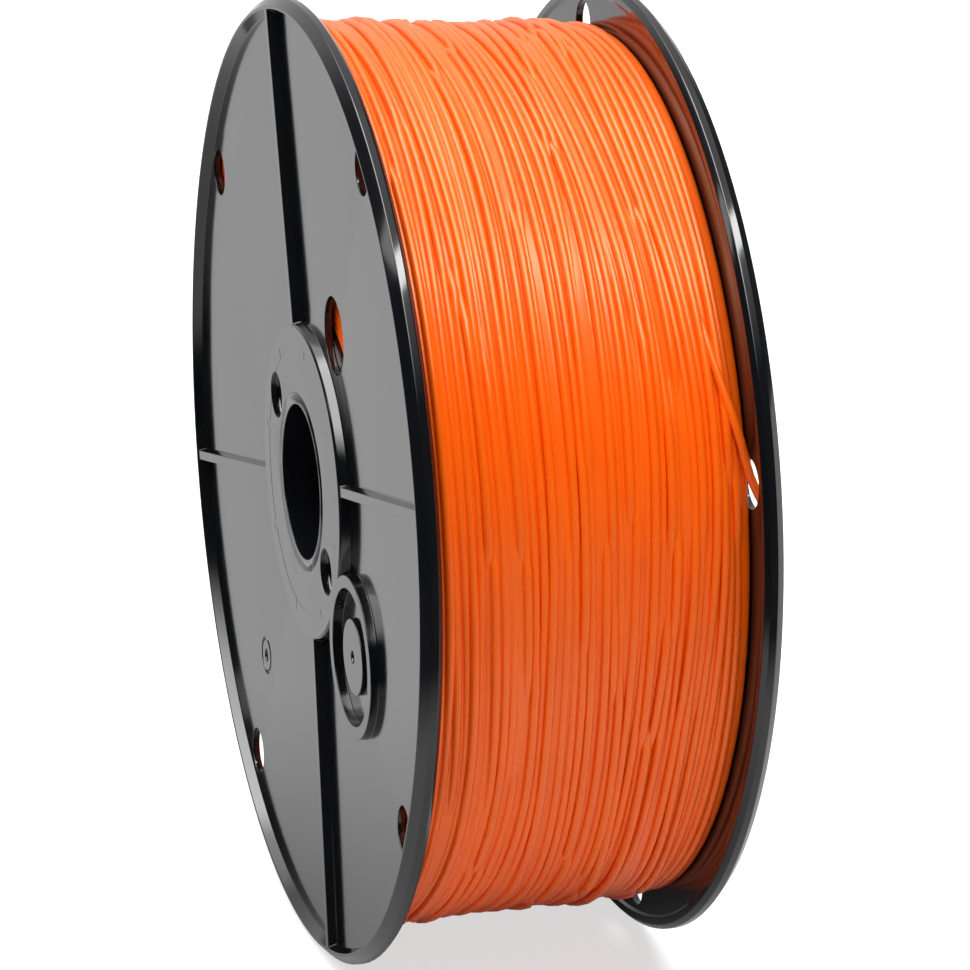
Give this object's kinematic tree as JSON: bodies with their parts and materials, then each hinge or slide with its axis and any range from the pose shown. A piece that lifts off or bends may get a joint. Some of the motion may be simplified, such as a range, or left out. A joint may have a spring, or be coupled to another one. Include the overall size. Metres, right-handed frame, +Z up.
{
  "type": "filament spool",
  "caption": "Plastic spool with two ribbed flanges on a barrel, wound full of 3D printing filament whose free end is tucked through a rim hole.",
  "frame": {"origin": "on the bore's axis, midway between the two flanges", "axes": "+Y along the bore from the front flange to the rear flange, +Z up as the spool stands on its rims"},
  "size_m": [0.2, 0.072, 0.2],
  "materials": {
    "spool_black": "glossy moulded polystyrene, black",
    "filament_orange": "smooth extruded filament, orange, half gloss"
  },
  "bodies": {
    "root": {"front_flange": "spool_black", "rear_flange": "spool_black", "barrel": "spool_black", "winding_core": "filament_orange", "outer_turns_layer": "filament_orange", "filament_tail": "filament_orange"}
  },
  "joints": []
}
